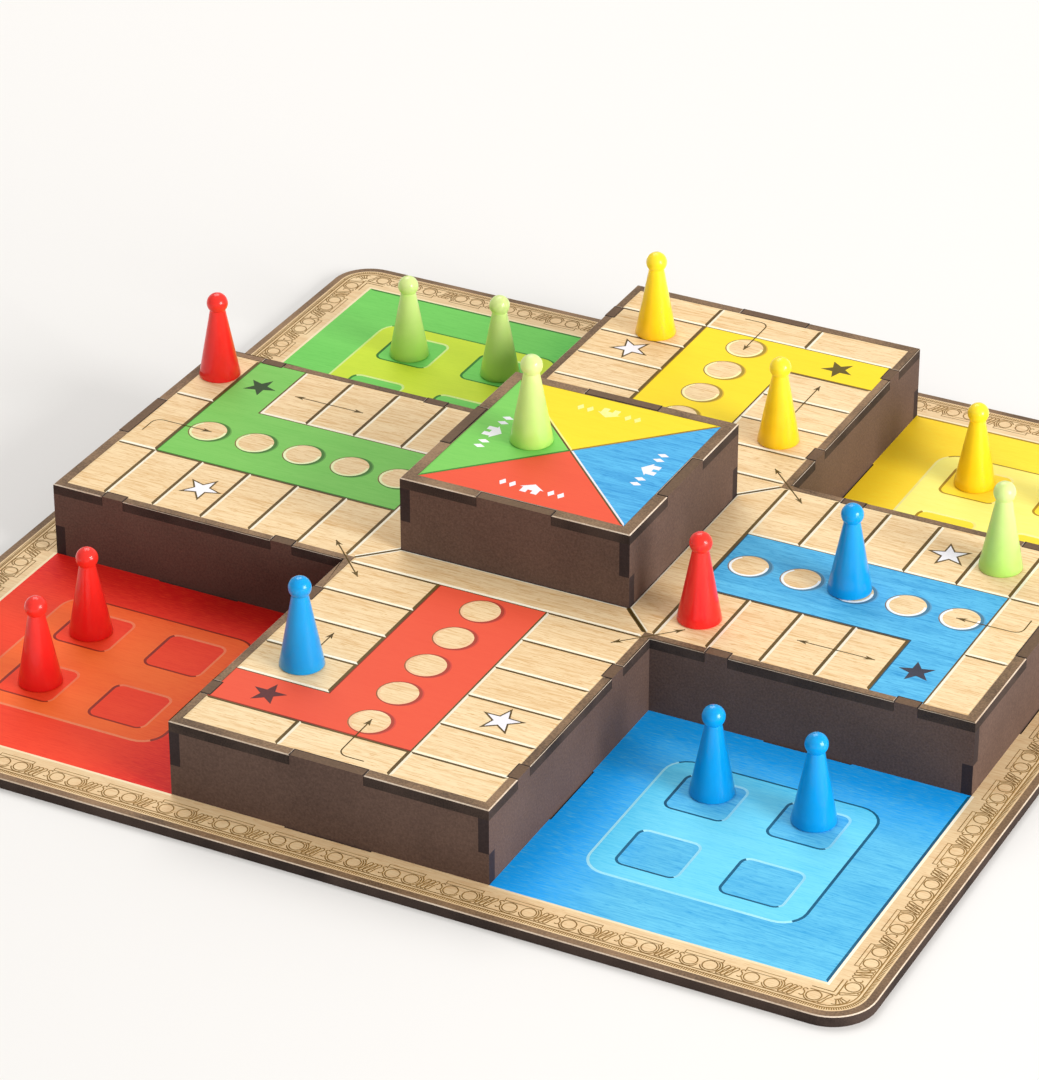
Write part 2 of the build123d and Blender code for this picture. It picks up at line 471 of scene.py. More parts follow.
# Yard line inks: the same embossed lines in a lighter and a darker tone of each yard.
yard_lit = {
    "red": speckled("red_yard_lit_line", "#f98a5c", "#f2724a"),
    "blue": speckled("blue_yard_lit_line", "#a9e8fa", "#8cdcf6"),
    "yellow": speckled("yellow_yard_lit_line", "#fff6a8", "#ffee80"),
    "green": speckled("green_yard_lit_line", "#e2f29a", "#c9ea7c"),
}
yard_shade = {
    "red": speckled("red_yard_shade_line", "#a5301c", "#8c2616"),
    "blue": speckled("blue_yard_shade_line", "#126284", "#0a4a6a"),
    "yellow": speckled("yellow_yard_shade_line", "#b08a10", "#94720a"),
    "green": speckled("green_yard_shade_line", "#3f8a2e", "#317324"),
}
yards = {"red": (-1, -1), "blue": (1, -1), "yellow": (1, 1), "green": (-1, 1)}
yard_middle = (half_arm + reach) / 2


def yard_of(x, y):
    """The colour of the yard in this quarter of the board."""
    return next(colour for colour, (way_x, way_y) in yards.items() if way_x * x > 0 and way_y * y > 0)


bpy.ops.object.select_all(action="DESELECT")
bpy.ops.mesh.primitive_plane_add(size=2 * (board_reach + trim))
board = bpy.context.object
board.name = "printed_base_board"
bpy.ops.object.mode_set(mode="EDIT")
bpy.ops.mesh.select_all(action="SELECT")
bpy.ops.mesh.bevel(offset=board_corner + trim, segments=12, affect="VERTICES")
bpy.ops.mesh.select_all(action="SELECT")
bpy.ops.mesh.inset(thickness=edge_band + trim)
pale_end = reach + yard_edge_line
score((-pale_end, -reach, -half_arm, half_arm, reach, pale_end))
bpy.ops.mesh.select_all(action="SELECT")
raise_faces(board_top - board_low.z)
bpy.ops.mesh.select_all(action="SELECT")
bpy.ops.mesh.normals_make_consistent(inside=False)
pick_faces(
    board,
    lambda face: face.normal.z > top_normal
    and half_arm < min(map(abs, middle(face)))
    and max(map(abs, middle(face))) < reach,
)
bpy.ops.mesh.inset(thickness=yard_edge_line, use_individual=True)
bpy.ops.object.mode_set(mode="OBJECT")
cut_to_outline(board, "base_board")
wear_arris(board, board_top, arris)


def unprinted(face):
    """The finish of a sheet's underside and of its cut sides, or None on its printed top."""
    if face.normal.z > side_normal:
        return None
    return bare_fibreboard if face.normal.z < -side_normal else scorched_edge_and_foot_shade


def base_finish(face):
    """What a face of the base board shows, from its place and its slope."""
    x, y = face.center.xy
    near, far = sorted((abs(x), abs(y)))
    if unprinted(face):
        return unprinted(face)
    if face.normal.z < top_normal:
        return worn_and_highlit_arris if far > pale_end else scorched_edge_and_foot_shade
    corner = board_reach - board_corner
    past_corner = hypot(max(abs(x) - corner, 0), max(abs(y) - corner, 0))
    if past_corner > board_corner - edge_band:
        return band_print
    if far > pale_end or (far > reach and near < half_arm):
        return border_grain
    if far > reach:
        # the side that lies to the right has the brighter line
        return lit_line if x > reach else soft_line
    if near < half_arm:
        return bare_fibreboard
    # only the outer sides that lie to the right or behind have a dark line
    if max(x, y) > reach - yard_edge_line:
        return yard_shade[yard_of(x, y)]
    return yard_inks[yard_of(x, y)]


paint_faces(
    board,
    [border_grain, band_print, worn_and_highlit_arris, scorched_edge_and_foot_shade, bare_fibreboard, lit_line, soft_line]
    + [finish for group in (yard_inks, yard_shade) for finish in group.values()],
    base_finish,
)
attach(board, "board")
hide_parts("base_board")


# Yard panels: each yard has a raised-looking panel with four square windows, where the pawns
# wait. Its edges are painted pale where they face the front left, and dark where they face away.
panel_x = 59.8 * mm
panel_y = 57.0 * mm
panel_corner = 7.0 * mm
window_x = 16.4 * mm
window_y = 16.0 * mm
window_corner = 2.2 * mm
spot = 14.2 * mm  # from the middle of a yard to each window, along X and Y
panel_rise = 0.1 * mm
panel_slope = 0.75 * mm
panel_sunk = 0.2 * mm  # how far the panel's body goes down into the board
level_normal = 0.9999  # a face whose normal rises more than this is level

# Panel inks: a second, lighter coat on each yard, with its grain. The red and the blue one carry
# the yards' painted shade along the deck's walls.
panel_inks = {
    "red": grained_print("orange_panel_print", "#ff7230", "#f45a20", 0.5, wall_shade="#ee4a1e"),
    "blue": grained_print("sky_panel_print", "#7addf8", "#56c8ee", 0.7, wall_shade="#2fb6ea"),
    "yellow": grained_print("pale_yellow_panel_print", "#fff584", "#fde95c", 0.4),
    "green": grained_print("lime_panel_print", "#d2e63c", "#bcd832", 0.4),
}


def rounded_block(name, size, corner, low, high, place=(0, 0)):
    """A block with rounded upright edges."""
    bpy.ops.object.select_all(action="DESELECT")
    bpy.ops.mesh.primitive_cube_add(size=1, location=(*place, (low + high) / 2))
    block = bpy.context.object
    block.name = name
    block.scale = (*size, high - low)
    bpy.ops.object.transform_apply(location=True, rotation=True, scale=True)
    bpy.ops.object.mode_set(mode="EDIT")
    pick_edges(block, lambda edge: abs(edge.verts[0].co.z - edge.verts[1].co.z) > tiny)
    bpy.ops.mesh.bevel(offset=corner, segments=6, affect="EDGES")
    bpy.ops.object.mode_set(mode="OBJECT")
    return block


def copy_of(piece, name, shift=(0, 0, 0), turn=0.0):
    """A copy with its own mesh, turned about the upright axis and then shifted."""
    made = piece.copy()
    made.data = piece.data.copy()
    made.name = name
    scene.collection.objects.link(made)
    made.data.transform(Matrix.Translation(shift) @ Matrix.Rotation(turn, 4, "Z"))
    return made


panel = rounded_block("panel", (panel_x, panel_y), panel_corner, board_top - panel_sunk, board_top)
for way_x in (-1, 1):
    for way_y in (-1, 1):
        window = rounded_block(
            "window",
            (window_x, window_y),
            window_corner,
            board_top - 2 * panel_sunk,
            board_top + panel_sunk,
            (way_x * spot, way_y * spot),
        )
        cut(panel, window, "DIFFERENCE")
bpy.ops.object.mode_set(mode="EDIT")
pick_faces(panel, lambda face: face.normal.z > top_normal)
bpy.ops.mesh.inset(thickness=panel_slope, depth=panel_rise)
bpy.ops.object.mode_set(mode="OBJECT")


def panel_finish(face):
    """What a face of this colour's panel shows: its ink, or a line by the way it slopes."""
    if face.normal.z > level_normal:
        return panel_inks[colour]
    return yard_shade[colour] if face.normal.x + face.normal.y > 0 else yard_lit[colour]


for colour, (way_x, way_y) in yards.items():
    yard_panel = copy_of(panel, f"{colour}_yard_panel", (way_x * yard_middle, way_y * yard_middle, 0))
    paint_faces(yard_panel, [panel_inks[colour], yard_lit[colour], yard_shade[colour]], panel_finish)
    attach(yard_panel, "board")
bpy.data.objects.remove(panel)


# Border: a traditional band of paired eggs, darts and a rope line, printed thin and brown between
# the yards and the edge. One repeat is drawn, and copied along each side; the corners have a fan.
repeat = 16.27 * mm
repeats = 16
bar_lines = (139.4 * mm, 140.5 * mm)  # these are all from the middle of the board
egg_line = 142.75 * mm
rope_lines = (145.4 * mm, 146.25 * mm)
rope_foot = 147.25 * mm
rope_ticks = 26
rope_pitch = repeat / rope_ticks
egg_radius = 1.9 * mm
egg_apart = 2.65 * mm  # half the way between the two eggs of a pair
egg_knots = 8
saucer = 0.6 * mm  # from an egg to the line round its foot
saucer_span = (200, 340)  # degrees round the egg
ripple_span = (-38, 50)  # of the two lines to the right of a pair
bar_past = 0.5 * mm  # what the bar over a pair sticks out past its eggs
dart_places = (6.2 * mm, 7.4 * mm, 8.6 * mm)  # from the middle of a pair
dart_gaps = (0.3 * mm, 0.4 * mm)  # to the bar over it, and to the rope under it
dart_lean = 1.9 * mm
dart_belly = 0.3 * mm
corner_dart = 3.0 * mm  # from the last egg of a side
# millimetres from the middle of a pair
curl = [(-4.8, 1.6), (-5.4, 1.9), (-5.9, 1.3), (-5.4, 0.7), (-5.1, -0.2), (-5.5, -1.1), (-6.2, -1.0)]
fan_reach = (1.5 * mm, 3.6 * mm)
fan_span = (-45, -88)  # degrees
fan_angles = (-52, -69)
ink_width = 0.36 * mm
ink_rise = 0.03 * mm  # thickness of the cured ink
ink_sunk = 0.03 * mm

# Border ink: brown, in lines so thin that the grain under them breaks them up.
border_ink = speckled("brown_line_ink", "#a37f49", "#8a6835", fine_speck)


def at_angle(centre, radius, angle):
    """The point on a circle at an angle in degrees."""
    return centre[0] + radius * cos(radians(angle)), centre[1] + radius * sin(radians(angle))


def arc(centre, radius, start, stop, steps):
    """Points along an arc, its angles in degrees."""
    return [at_angle(centre, radius, start + (stop - start) * step / steps) for step in range(steps + 1)]


def stroke(points, smooth=False, closed=False):
    """One stroke of the pen, through points."""
    return points, smooth, closed


def ink_lines(name, strokes, width, level, sunk):
    """Flat printed lines at a level, let in by sunk."""
    pen = bpy.data.curves.new(name, "CURVE")
    pen.dimensions = "3D"
    pen.bevel_depth = width / 2
    pen.bevel_resolution = 0
    pen.use_fill_caps = True
    pen.resolution_u = 4
    for points, smooth, closed in strokes:
        line = pen.splines.new("BEZIER")
        line.bezier_points.add(len(points) - 1)
        for knot, point in zip(line.bezier_points, points):
            knot.co = (*point, 0)
            knot.handle_left_type = "AUTO" if smooth else "VECTOR"
            knot.handle_right_type = "AUTO" if smooth else "VECTOR"
        line.use_cyclic_u = closed
    drawn = bpy.data.objects.new(name, pen)
    scene.collection.objects.link(drawn)
    take(drawn)
    bpy.ops.object.convert(target="MESH")
    for corner in drawn.data.vertices:
        share = 2 * corner.co.z / width  # from -1 at the foot of the stroke to 1 at its ridge
        corner.co.z = level + share * (ink_rise if share > 0 else sunk)
    return drawn


def join_pieces(name, parts):
    """Joins parts into one piece under a new name."""
    bpy.ops.object.select_all(action="DESELECT")
    for part in parts:
        part.select_set(True)
    bpy.context.view_layer.objects.active = parts[0]
    bpy.ops.object.join()
    parts[0].name = name
    return parts[0]


def egg(along):
    """An egg, and the line round its foot."""
    centre = (along, -egg_line)
    return [
        stroke(arc(centre, egg_radius, 0, 360 - 360 / egg_knots, egg_knots - 1), smooth=True, closed=True),
        stroke(arc(centre, egg_radius + saucer, *saucer_span, steps=5), smooth=True),
    ]


def dart(along):
    """A narrow leaf that leans to the right."""
    top = (along + dart_lean / 2, -bar_lines[1] - dart_gaps[0])
    foot = (along - dart_lean / 2, -rope_lines[0] + dart_gaps[1])
    halfway = (top[1] + foot[1]) / 2
    outline = [top, (along + dart_belly, halfway), foot, (along - dart_belly, halfway)]
    return stroke(outline, smooth=True, closed=True)


def rope(start, ticks):
    """A stretch of the rope: two lines, with slanted ticks under the outer one."""
    end = start + ticks * rope_pitch
    strokes = [stroke([(start, -line), (end, -line)]) for line in rope_lines]
    for number in range(ticks):
        foot = start + number * rope_pitch
        strokes.append(stroke([(foot, -rope_foot), (foot + rope_pitch / 2, -rope_lines[1])]))
    return strokes


def curled(along):
    """The curl to the left of a pair of eggs."""
    return stroke([(along + x * mm, y * mm - egg_line) for x, y in curl], smooth=True)


strokes = [*egg(-egg_apart), *egg(egg_apart), *map(dart, dart_places), curled(0)]
for out in (saucer, 2 * saucer):
    ripple = arc((egg_apart, -egg_line), egg_radius + out, *ripple_span, steps=4)
    strokes.append(stroke(ripple, smooth=True))
bar_end = egg_apart + egg_radius + bar_past
near, far = bar_lines
bar = [(-bar_end, -near), (bar_end, -near), (bar_end, -far), (-bar_end, -far)]
strokes.append(stroke(bar, closed=True))
strokes += rope(-repeat / 2, rope_ticks)
motif = ink_lines("motif", strokes, ink_width, board_top, ink_sunk)

# a corner's half is drawn at the right end of the front side, and mirrored about the diagonal
last = repeats * repeat / 2
last_egg = last + repeat / 2 - egg_apart
rope_middle = board_reach - board_corner
half_strokes = [*egg(last_egg), curled(last_egg + egg_apart), dart(last_egg + corner_dart)]
half_strokes += rope(last, round((rope_middle - last) / rope_pitch))
for line in bar_lines:
    half_strokes.append(stroke([(last_egg - egg_radius, -line), (line, -line)]))
fan = (bar_lines[1], -bar_lines[1])  # the point that the fan opens from
for out in fan_reach:
    half_strokes.append(stroke(arc(fan, out, *fan_span, steps=3), smooth=True))
for angle in fan_angles:
    half_strokes.append(stroke([at_angle(fan, out, angle) for out in fan_reach]))
turning = (rope_middle, -rope_middle)
for line in rope_lines:
    half_strokes.append(stroke(arc(turning, line - rope_middle, -90, -45, steps=4), smooth=True))
ring_ticks = round((rope_foot - rope_middle) * pi / 4 / rope_pitch)
for number in range(ring_ticks):
    angle = -90 + 45 * (number + 0.5) / ring_ticks
    tick = [at_angle(turning, line - rope_middle, angle) for line in (rope_foot, rope_lines[1])]
    half_strokes.append(stroke(tick))
# the next side has no darts before its first eggs, so the mirrored half brings them
other_half = half_strokes + [dart(last - repeat / 2 + place) for place in dart_places]
mirrored = [stroke([(-y, -x) for x, y in points], *manner) for points, *manner in other_half]
corner_motif = ink_lines("corner", half_strokes + mirrored, ink_width, board_top, ink_sunk)

sides = []
for quarter in range(4):
    turn = Matrix.Rotation(quarter * pi / 2, 3, "Z")
    sides.append(copy_of(corner_motif, "corner", turn=quarter * pi / 2))
    for number in range(repeats):
        along = (number - (repeats - 1) / 2) * repeat
        sides.append(copy_of(motif, "repeat", turn @ Vector((along, 0, 0)), quarter * pi / 2))
for master in (motif, corner_motif):
    bpy.data.objects.remove(master)
border = join_pieces("border_ornament", sides)
border.data.materials.append(border_ink)
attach(border, "board")


# Deck and home strips: upright strips of the same fibreboard, stained dark brown. The packed
# strips already have their fingers and tabs; they get a satin stain on the broad faces and a
# scorched finish on the cut ones.
strip_light = "#6c554a"
strip_dark = "#4c3a33"
strip_cut = "#3a2e2e"
tab_top = "#7c614a"  # ends of the tabs that show in a top
strip_clouds = 24 * mm  # width of the broad mottle in the stain


def stained_strip(name, broad_axis):
    """Stained fibreboard, scorched where the laser cut it. broad_axis is across the strip."""
    finish, surface = new_finish(name, 0.6, Specular_IOR_Level=dry_gloss)
    coordinates = add_node(finish, "TexCoord", {})
    specks = add_node(
        finish,
        "TexNoise",
        {
            "Vector": coordinates.outputs["Object"],
            "Scale": 1 / speck_width,
            "Detail": 6.0,
            "Roughness": 0.7,
        },
    )
    clouds = add_node(
        finish,
        "TexNoise",
        {"Vector": coordinates.outputs["Object"], "Scale": 1 / strip_clouds, "Detail": 3.0},
    )
    both = add_node(
        finish,
        "Math",
        {0: clouds.outputs["Fac"], 1: 0.4, 2: specks.outputs["Fac"]},
        operation="MULTIPLY_ADD",
    )
    tone = add_node(
        finish, "MapRange", {"Value": both.outputs["Value"], "From Min": 0.45, "From Max": 0.95}
    )
    stain = add_node(
        finish,
        "MixRGB",
        {"Fac": tone.outputs["Result"], "Color1": linear(strip_dark), "Color2": linear(strip_light)},
    )
    facing = add_node(finish, "SeparateXYZ", {"Vector": coordinates.outputs["Normal"]})
    broad = add_node(finish, "Math", {0: facing.outputs[broad_axis]}, operation="ABSOLUTE")
    upwards = add_node(
        finish, "Math", {0: facing.outputs["Z"], 1: 0.5}, operation="GREATER_THAN"
    )
    is_broad = add_node(
        finish, "Math", {0: broad.outputs["Value"], 1: 0.5}, operation="GREATER_THAN"
    )
    cut_tone = add_node(
        finish,
        "MixRGB",
        {
            "Fac": upwards.outputs["Value"],
            "Color1": linear(strip_cut),
            "Color2": linear(tab_top),
        },
    )
    charred = add_node(
        finish,
        "MixRGB",
        {"Fac": 0.45, "Color1": cut_tone.outputs["Color"], "Color2": tone.outputs["Result"]},
        blend_type="MULTIPLY",
    )
    colour = add_node(
        finish,
        "MixRGB",
        {
            "Fac": is_broad.outputs["Value"],
            "Color1": charred.outputs["Color"],
            "Color2": stain.outputs["Color"],
        },
    )
    finish.node_tree.links.new(colour.outputs["Color"], surface.inputs["Base Color"])
    bump = add_node(
        finish, "Bump", {"Height": specks.outputs["Fac"], "Strength": 0.3, "Distance": 0.08 * mm}
    )
    finish.node_tree.links.new(bump.outputs["Normal"], surface.inputs["Normal"])
    return finish


strips_facing = {
    axis: stained_strip(f"stained_fibreboard_facing_{axis.lower()}", axis) for axis in ("X", "Y")
}
for name, strip in frame["nodes"].items():
    if name.endswith("_wall"):
        low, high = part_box(name)
        broad_axis = "X" if high.x - low.x < high.y - low.y else "Y"
        strip.material_slots[0].material = strips_facing[broad_axis]


# Deck panel: the top of the cross-shaped deck. Its squares stand a little above fine grooves, and
# their edges are painted pale or dark by the way they slope, but not beside the brown rim. Each
# colour has a bent path of its own, set slightly lower.
deck_top = deck_high.z
deck_rows = 6
row_pitch = (reach - half_arm) / deck_rows
column_line = 15.9 * mm  # from the middle line of an arm to the edge of its middle column
rim_side = 2.4 * mm
rim_end = 3.0 * mm
relief = 0.09 * mm  # how far the squares stand above the grooves
path_relief = 0.05 * mm
groove = 0.1 * mm
slope = 0.8 * mm  # width of the painted edge of a square
path_slope = 0.35 * mm
home_footprint = 33.8 * mm  # half the side of the square that the home box stands on
hair = 0.01 * mm  # two levels nearer than this are one
past_slope = 3 * slope  # from the middle of a slope into what lies beyond it
shade_turn = 0.3  # slopes that face further back and to the right than this have the dark line

# Deck inks: the palest wood grain, and a flat coat for each path, the blue one with bold grain.
deck_grain = grained_print("wood_grain_print_deck", "#fbe0b2", "#d8a869", 0.9, figure=0.35)
path_inks = {
    "red": grained_print("red_path_print", "#ee5b3e", "#e44832", 0.3),
    "blue": grained_print("blue_path_print", "#62c2ec", "#2a92cc", 0.95),
    "yellow": grained_print("yellow_path_print", "#ffe02a", "#f6cc14", 0.3),
    "green": grained_print("green_path_print", "#86cc62", "#6cbe4e", 0.5),
}
arms = {"red": -pi / 2, "blue": 0.0, "yellow": pi / 2, "green": pi}  # the way each arm points


def on_arm(colour, outward, across):
    """A point given along an arm, from the middle of the board, and across it, anticlockwise."""
    turn = arms[colour]
    return (
        outward * cos(turn) - across * sin(turn),
        outward * sin(turn) + across * cos(turn),
    )


def arm_place(x, y):
    """The arm that a point lies on, and its place along and across that arm."""
    colour = ("blue" if x > 0 else "green") if abs(x) > abs(y) else ("yellow" if y > 0 else "red")
    turn = arms[colour]
    return colour, x * cos(turn) + y * sin(turn), y * cos(turn) - x * sin(turn)


def is_rim(x, y):
    """Whether a point lies on the deck's brown rim."""
    return max(abs(x), abs(y)) > reach - rim_end or min(abs(x), abs(y)) > half_arm - rim_side


def on_path(x, y):
    """Whether a point lies on a coloured path: five squares outwards, and one to the start."""
    outward, across = arm_place(x, y)[1:]
    row = (outward - half_arm) / row_pitch
    straight = 0 < row < deck_rows - 1 and abs(across) < column_line
    start = deck_rows - 2 < row < deck_rows - 1 and -half_arm + rim_side < across < 0
    return straight or start


def in_centre(face):
    """Whether a face lies between the arms, inside the rim."""
    return max(map(abs, middle(face))) < half_arm and not is_rim(*middle(face))


bpy.ops.object.select_all(action="DESELECT")
bpy.ops.mesh.primitive_plane_add(size=2 * (reach + trim), location=(0, 0, deck_low.z))
deck = bpy.context.object
deck.name = "printed_deck_panel"
bpy.ops.object.transform_apply(location=True, rotation=True, scale=True)
bpy.ops.object.mode_set(mode="EDIT")
lines = [column_line, half_arm - rim_side, half_arm, reach - rim_end]
lines += [half_arm + row * row_pitch for row in range(1, deck_rows)]
score([way * line for line in lines for way in (-1, 1)])
pick_faces(deck, in_centre)
bpy.ops.mesh.dissolve_faces()
# the centre: a square under the home box, and four trapezoids round it
for way in (-1, 1):
    pick_faces(deck, in_centre)
    bpy.ops.mesh.bisect(plane_co=(0, 0, 0), plane_no=(1, way, 0), threshold=tiny)
for line in (-home_footprint, home_footprint):
    for across in ((1, 0, 0), (0, 1, 0)):
        pick_faces(deck, in_centre)
        bpy.ops.mesh.bisect(plane_co=Vector(across) * line, plane_no=across, threshold=tiny)
pick_faces(deck, lambda face: max(map(abs, middle(face))) < home_footprint)
bpy.ops.mesh.dissolve_faces()


def in_trapezoid(face):
    """Whether a face lies in the centre between the home box and this colour's arm."""
    on, outward = arm_place(*middle(face))[:2]
    return in_centre(face) and on == colour and outward > home_footprint


for colour in arms:
    pick_faces(deck, in_trapezoid)
    bpy.ops.mesh.dissolve_faces()
for colour in arms:
    pick_faces(deck, lambda face: on_path(*middle(face)) and arm_place(*middle(face))[0] == colour)
    bpy.ops.mesh.dissolve_faces()
for finish in [deck_grain, *path_inks.values()]:
    deck.data.materials.append(finish)
path_slots = {colour: 1 + place for place, colour in enumerate(path_inks)}


def is_whole_path(face):
    """Whether a face is one of the four bent paths, the largest faces outside the centre."""
    return not in_centre(face) and face.calc_area() > (deck_rows - 1) * row_pitch * column_line


pick_faces(deck, is_whole_path)
form = bmesh.from_edit_mesh(deck.data)
for face in form.faces:
    if face.select:
        face.material_index = path_slots[arm_place(*middle(face))[0]]
bmesh.update_edit_mesh(deck.data)
bpy.ops.mesh.select_all(action="SELECT")
floor_level = deck_top - relief
raise_faces(floor_level - deck_low.z)
bpy.ops.mesh.select_all(action="SELECT")
bpy.ops.mesh.normals_make_consistent(inside=False)


def at_top(face):
    """Whether a face lies on the deck's upper side."""
    return face.normal.z > top_normal and face.verts[0].co.z > floor_level - tiny


pick_faces(deck, lambda face: at_top(face) and face.material_index > 0)
bpy.ops.mesh.inset(thickness=groove / 2, use_individual=True)
bpy.ops.mesh.inset(thickness=path_slope, depth=path_relief, use_individual=True)
pick_faces(deck, lambda face: at_top(face) and face.material_index == 0 and not is_rim(*middle(face)))
bpy.ops.mesh.inset(thickness=groove / 2, use_individual=True)
bpy.ops.mesh.inset(thickness=slope, depth=relief, use_individual=True)
pick_faces(deck, lambda face: at_top(face) and is_rim(*middle(face)))
raise_faces(deck_top - floor_level)
bpy.ops.object.mode_set(mode="OBJECT")
cut_to_outline(deck, "deck_top")
wear_arris(deck, deck_top, arris)


def deck_finish(face):
    """What a face of the deck panel shows, from its level, slope and place."""
    x, y, z = face.center
    if unprinted(face):
        return unprinted(face)
    if is_rim(x, y):
        return band_print if face.normal.z > top_normal else worn_and_highlit_arris
    colour = arm_place(x, y)[0]
    ink = path_inks[colour] if on_path(x, y) and z < floor_level + path_relief + hair else deck_grain
    if face.normal.z > level_normal:
        return shade_line if z < floor_level + hair else ink
    away = Vector(face.normal.xy).normalized()
    # an edge beside the rim has no line
    if is_rim(*(Vector((x, y)) + past_slope * away)):
        return ink
    if away.x + away.y > shade_turn and max(abs(x), abs(y)) > home_footprint + slope:
        return shade_line
    return lit_line if ink is deck_grain else yard_shade[colour]


paint_faces(
    deck,
    [deck_grain, *path_inks.values(), *yard_shade.values(), band_print, worn_and_highlit_arris, scorched_edge_and_foot_shade]
    + [bare_fibreboard, lit_line, shade_line],
    deck_finish,
)
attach(deck, "deck")
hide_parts("deck_top")


# Circles: five on each coloured path, discs of wood grain that look raised. Each has a fine brown
# outline, a pale rim that is open at the back, and a printed shadow on the right in two steps.
circle_radius = 5.7 * mm
circle_outline = 0.25 * mm
circle_rim = 0.8 * mm
circle_sides = 48
outline_rise = 0.2  # share of a disc's rise that lies in its outline; the rim has the rest
lit_side = Vector((-0.32, -0.95))  # the way that the lit part of a rim faces
lit_reach = cos(radians(120))  # it goes round by this angle to each side of that
# Rim inks: one pale line on every colour, each tinted by the ink that it is printed over.
circle_rims = {
    "red": speckled("circle_rim_on_red", "#f6cfa0", "#ecbd90", fine_speck),
    "blue": speckled("circle_rim_on_blue", "#fdffff", "#eaf6fb", fine_speck),
    "yellow": speckled("circle_rim_on_yellow", "#fff7c4", "#fdf0a4", fine_speck),
    "green": speckled("circle_rim_on_green", "#f8f8c8", "#e9efae", fine_speck),
}
shadow_radius = 5.85 * mm
shadow_steps = (0.9 * mm, 0.45 * mm)  # how far to the right the pale and the dark step lie
path_level = floor_level + path_relief
step_height = 0.006 * mm  # thickness of one step's ink

# Outline and shadow inks: flat lines and patches, speckled by the board's fibres.
circle_edge = speckled("circle_outline_print", "#9a7244", "#7f5c34")
circle_shadows = {  # the pale step and the dark one
    "red": ("#d6483a", "#ad4230"),
    "blue": ("#5a9fc8", "#487c98"),
    "yellow": ("#dcb424", "#a88a2c"),
    "green": ("#62a048", "#487a32"),
}


def ink_shape(name, outline, low, high, finish):
    """A flat patch of ink inside an outline of points."""
    pen = bpy.data.curves.new(name, "CURVE")
    pen.dimensions = "2D"
    pen.fill_mode = "BOTH"
    pen.extrude = (high - low) / 2
    edge = pen.splines.new("POLY")
    edge.points.add(len(outline) - 1)
    for knot, point in zip(edge.points, outline):
        knot.co = (*point, 0, 1)
    edge.use_cyclic_u = True
    drawn = bpy.data.objects.new(name, pen)
    scene.collection.objects.link(drawn)
    take(drawn)
    bpy.ops.object.convert(target="MESH")
    drawn.data.transform(Matrix.Translation((0, 0, (low + high) / 2)))
    bpy.ops.object.mode_set(mode="EDIT")
    bpy.ops.mesh.select_all(action="SELECT")
    bpy.ops.mesh.remove_doubles(threshold=tiny)
    bpy.ops.mesh.normals_make_consistent(inside=False)
    bpy.ops.object.mode_set(mode="OBJECT")
    drawn.data.materials.append(finish)
    return drawn


bpy.ops.object.select_all(action="DESELECT")
bpy.ops.mesh.primitive_cylinder_add(
    vertices=circle_sides,
    radius=circle_radius,
    depth=path_level - floor_level,
    location=(0, 0, (path_level + floor_level) / 2),
)
circle = bpy.context.object
bpy.ops.object.transform_apply(location=True, rotation=True, scale=True)
bpy.ops.object.mode_set(mode="EDIT")
pick_faces(circle, lambda face: face.normal.z > top_normal)
bpy.ops.mesh.inset(thickness=circle_outline, depth=outline_rise * (deck_top - path_level))
bpy.ops.mesh.inset(thickness=circle_rim, depth=(1 - outline_rise) * (deck_top - path_level))
bpy.ops.object.mode_set(mode="OBJECT")


def circle_finish(face):
    """Brown on the outermost slope, the rim's ink on most of the next one, wood grain within."""
    if face.normal.z > level_normal:
        return deck_grain
    if hypot(*face.center.xy) > circle_radius - circle_outline:
        return circle_edge
    away = Vector(face.normal.xy).normalized()
    return circle_rims[colour] if away.dot(lit_side) > lit_reach else deck_grain


circles = []
shadow_outline = arc((0, 0), shadow_radius, 0, 360 - 360 / circle_sides, circle_sides - 1)
for colour in arms:
    paint_faces(circle, [deck_grain, circle_edge, circle_rims[colour]], circle_finish)
    places = [on_arm(colour, half_arm + (row - 0.5) * row_pitch, 0) for row in range(1, deck_rows)]
    circles += [copy_of(circle, "circle", (*place, 0)) for place in places]
    for step, (shift, tone) in enumerate(zip(shadow_steps, circle_shadows[colour]), start=1):
        ink = speckled(f"{colour}_circle_shadow_print_{step}", tone, tone)
        shadow = ink_shape("shadow", shadow_outline, floor_level, path_level + step * step_height, ink)
        circles += [copy_of(shadow, "shadow", (place[0] + shift, place[1], 0)) for place in places]
        bpy.data.objects.remove(shadow)
bpy.data.objects.remove(circle)
path_circles = join_pieces("path_circles", circles)
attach(path_circles, "deck")


# Stars: a dark one on each colour's start square, and a white one with a thin outline on the safe
# square across the arm. They are screen-printed, with a tip towards the middle of the board.
dark_star = 5.0 * mm  # from its middle to a tip
white_star = 6.4 * mm
star_outline = 0.75 * mm
star_waist = 0.4  # share of that to the inner corners
side_column = (column_line + half_arm - rim_side) / 2
start_row = deck_rows - 1.5  # the middles of the two rows, counted from the centre
safe_row = deck_rows - 2.5
# Screen-printed inks: opaque, with a dry satin skin that is mottled by the board's fibres.
star_inks = {
    "red": speckled("star_ink_on_red", "#6a3430", "#52262a", fine_speck),
    "blue": speckled("star_ink_on_blue", "#444250", "#343442", fine_speck),
    "yellow": speckled("star_ink_on_yellow", "#71601e", "#584a16", fine_speck),
    "green": speckled("star_ink_on_green", "#38502a", "#2a3f22", fine_speck),
}
white_ink = speckled("white_ink", "#fbf8fa", "#eeeaf0", fine_speck)
line_ink = speckled("dark_line_ink", "#66501f", "#523f18", fine_speck)


def star_points(radius):
    """The corners of a five-pointed star, one tip towards +X."""
    reaches = [radius, star_waist * radius] * 5
    return [(out * cos(pi * n / 5), out * sin(pi * n / 5)) for n, out in enumerate(reaches)]


